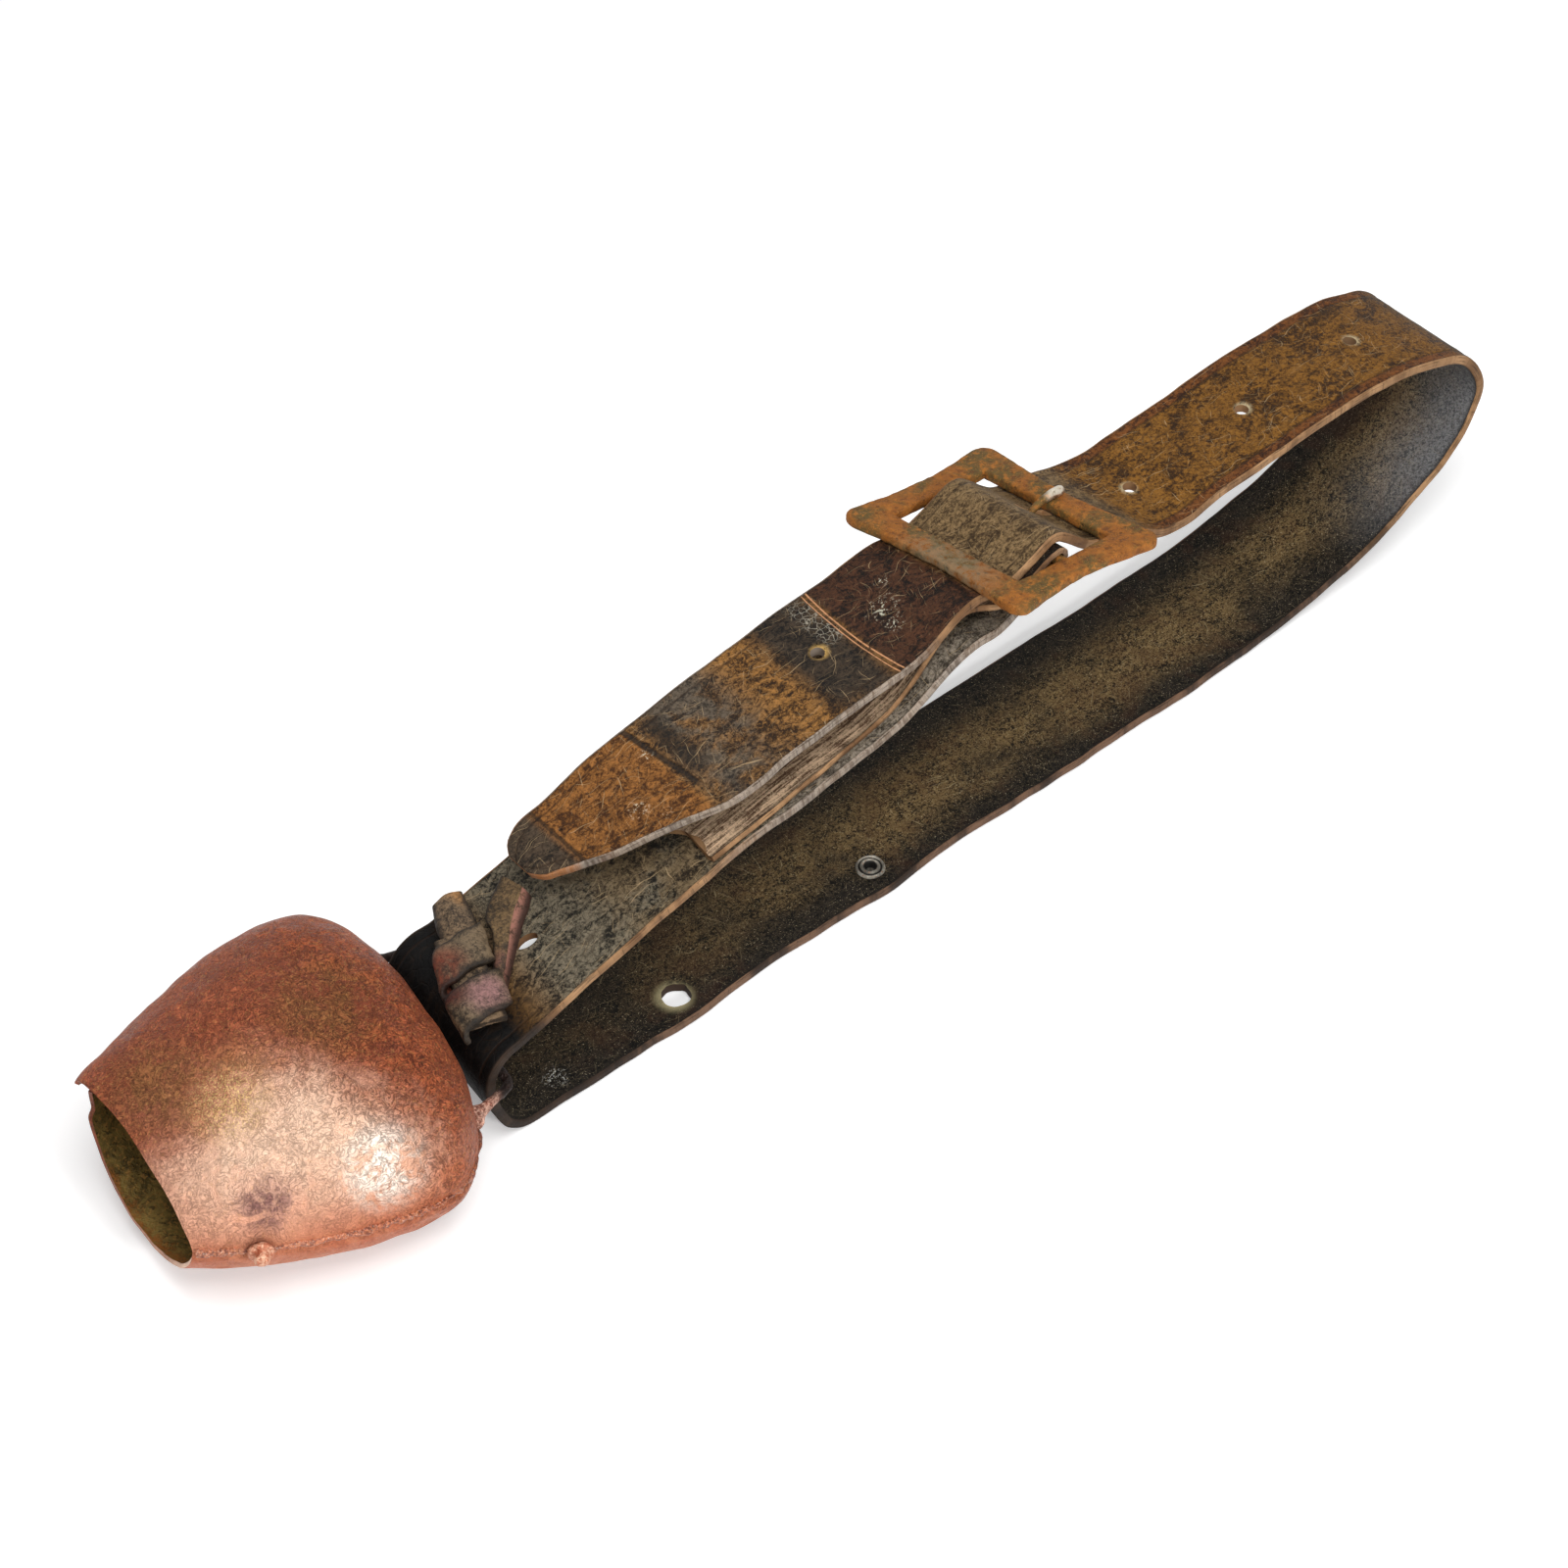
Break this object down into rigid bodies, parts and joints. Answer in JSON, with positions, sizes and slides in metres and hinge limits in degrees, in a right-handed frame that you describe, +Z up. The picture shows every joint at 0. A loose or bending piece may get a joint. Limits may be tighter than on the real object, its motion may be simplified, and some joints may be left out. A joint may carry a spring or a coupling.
{
  "type": "cow bell on collar",
  "caption": "Hammered copper-coloured cow bell with a swinging clapper, hung by its bail from a long leather neck collar closed with a flat iron buckle, lying on its side.",
  "frame": {"origin": "middle of the flat underside of the collar's lower run, on the surface it lies on", "axes": "+X along the collar from the bell to the collar's bend, +Y across the strap to its far edge, +Z up"},
  "size_m": [0.5983, 0.1167, 0.121],
  "materials": {
    "bell_copper": "hammered, copper coloured, worn",
    "clapper_iron": "dark forged iron",
    "rusted_iron": "rusted, worn",
    "collar_leather": "old, cracked, waxed",
    "thong_leather": "dry, untreated"
  },
  "bodies": {
    "collar": {"buckle_bar": "rusted_iron", "buckle_frame": "rusted_iron", "chape_far_burr": "rusted_iron", "chape_far_rivet": "rusted_iron", "chape_near_burr": "rusted_iron", "chape_near_rivet": "rusted_iron", "run_eyelet": "rusted_iron", "strap": "collar_leather", "thong_core": "thong_leather", "thong_tail": "thong_leather", "thong_wrap": "thong_leather"},
    "bell": {"bail": "bell_copper", "bail_washer_far": "bell_copper", "bail_washer_near": "bell_copper", "bell_lower_shell": "bell_copper", "bell_upper_shell": "bell_copper", "clapper_staple": "clapper_iron", "seam_collar_far": "bell_copper", "seam_collar_near": "bell_copper", "seam_rivet_far": "bell_copper", "seam_rivet_near": "bell_copper"},
    "clapper": {"clapper_shank": "clapper_iron", "clapper_ball": "clapper_iron"},
    "tongue": {"buckle_tongue": "rusted_iron"}
  },
  "joints": [
    {"name": "bell_swing", "type": "hinge", "parent": "collar", "child": "bell", "pos_m": [-0.1748, 0, 0.03421], "axis": [0.1016, 0.9924, 0.0696], "range_deg": [-30, 30]},
    {"name": "clapper_swing", "type": "hinge", "parent": "bell", "child": "clapper", "pos_m": [-0.20281, 0.00275, 0.03593], "axis": [0.1016, 0.9924, 0.0696], "range_deg": [0, 30]},
    {"name": "tongue_lift", "type": "hinge", "parent": "collar", "child": "tongue", "pos_m": [0.0696, 0, 0.1077], "axis": [0.046, -0.9894, 0.1377], "range_deg": [0, 8]}
  ]
}
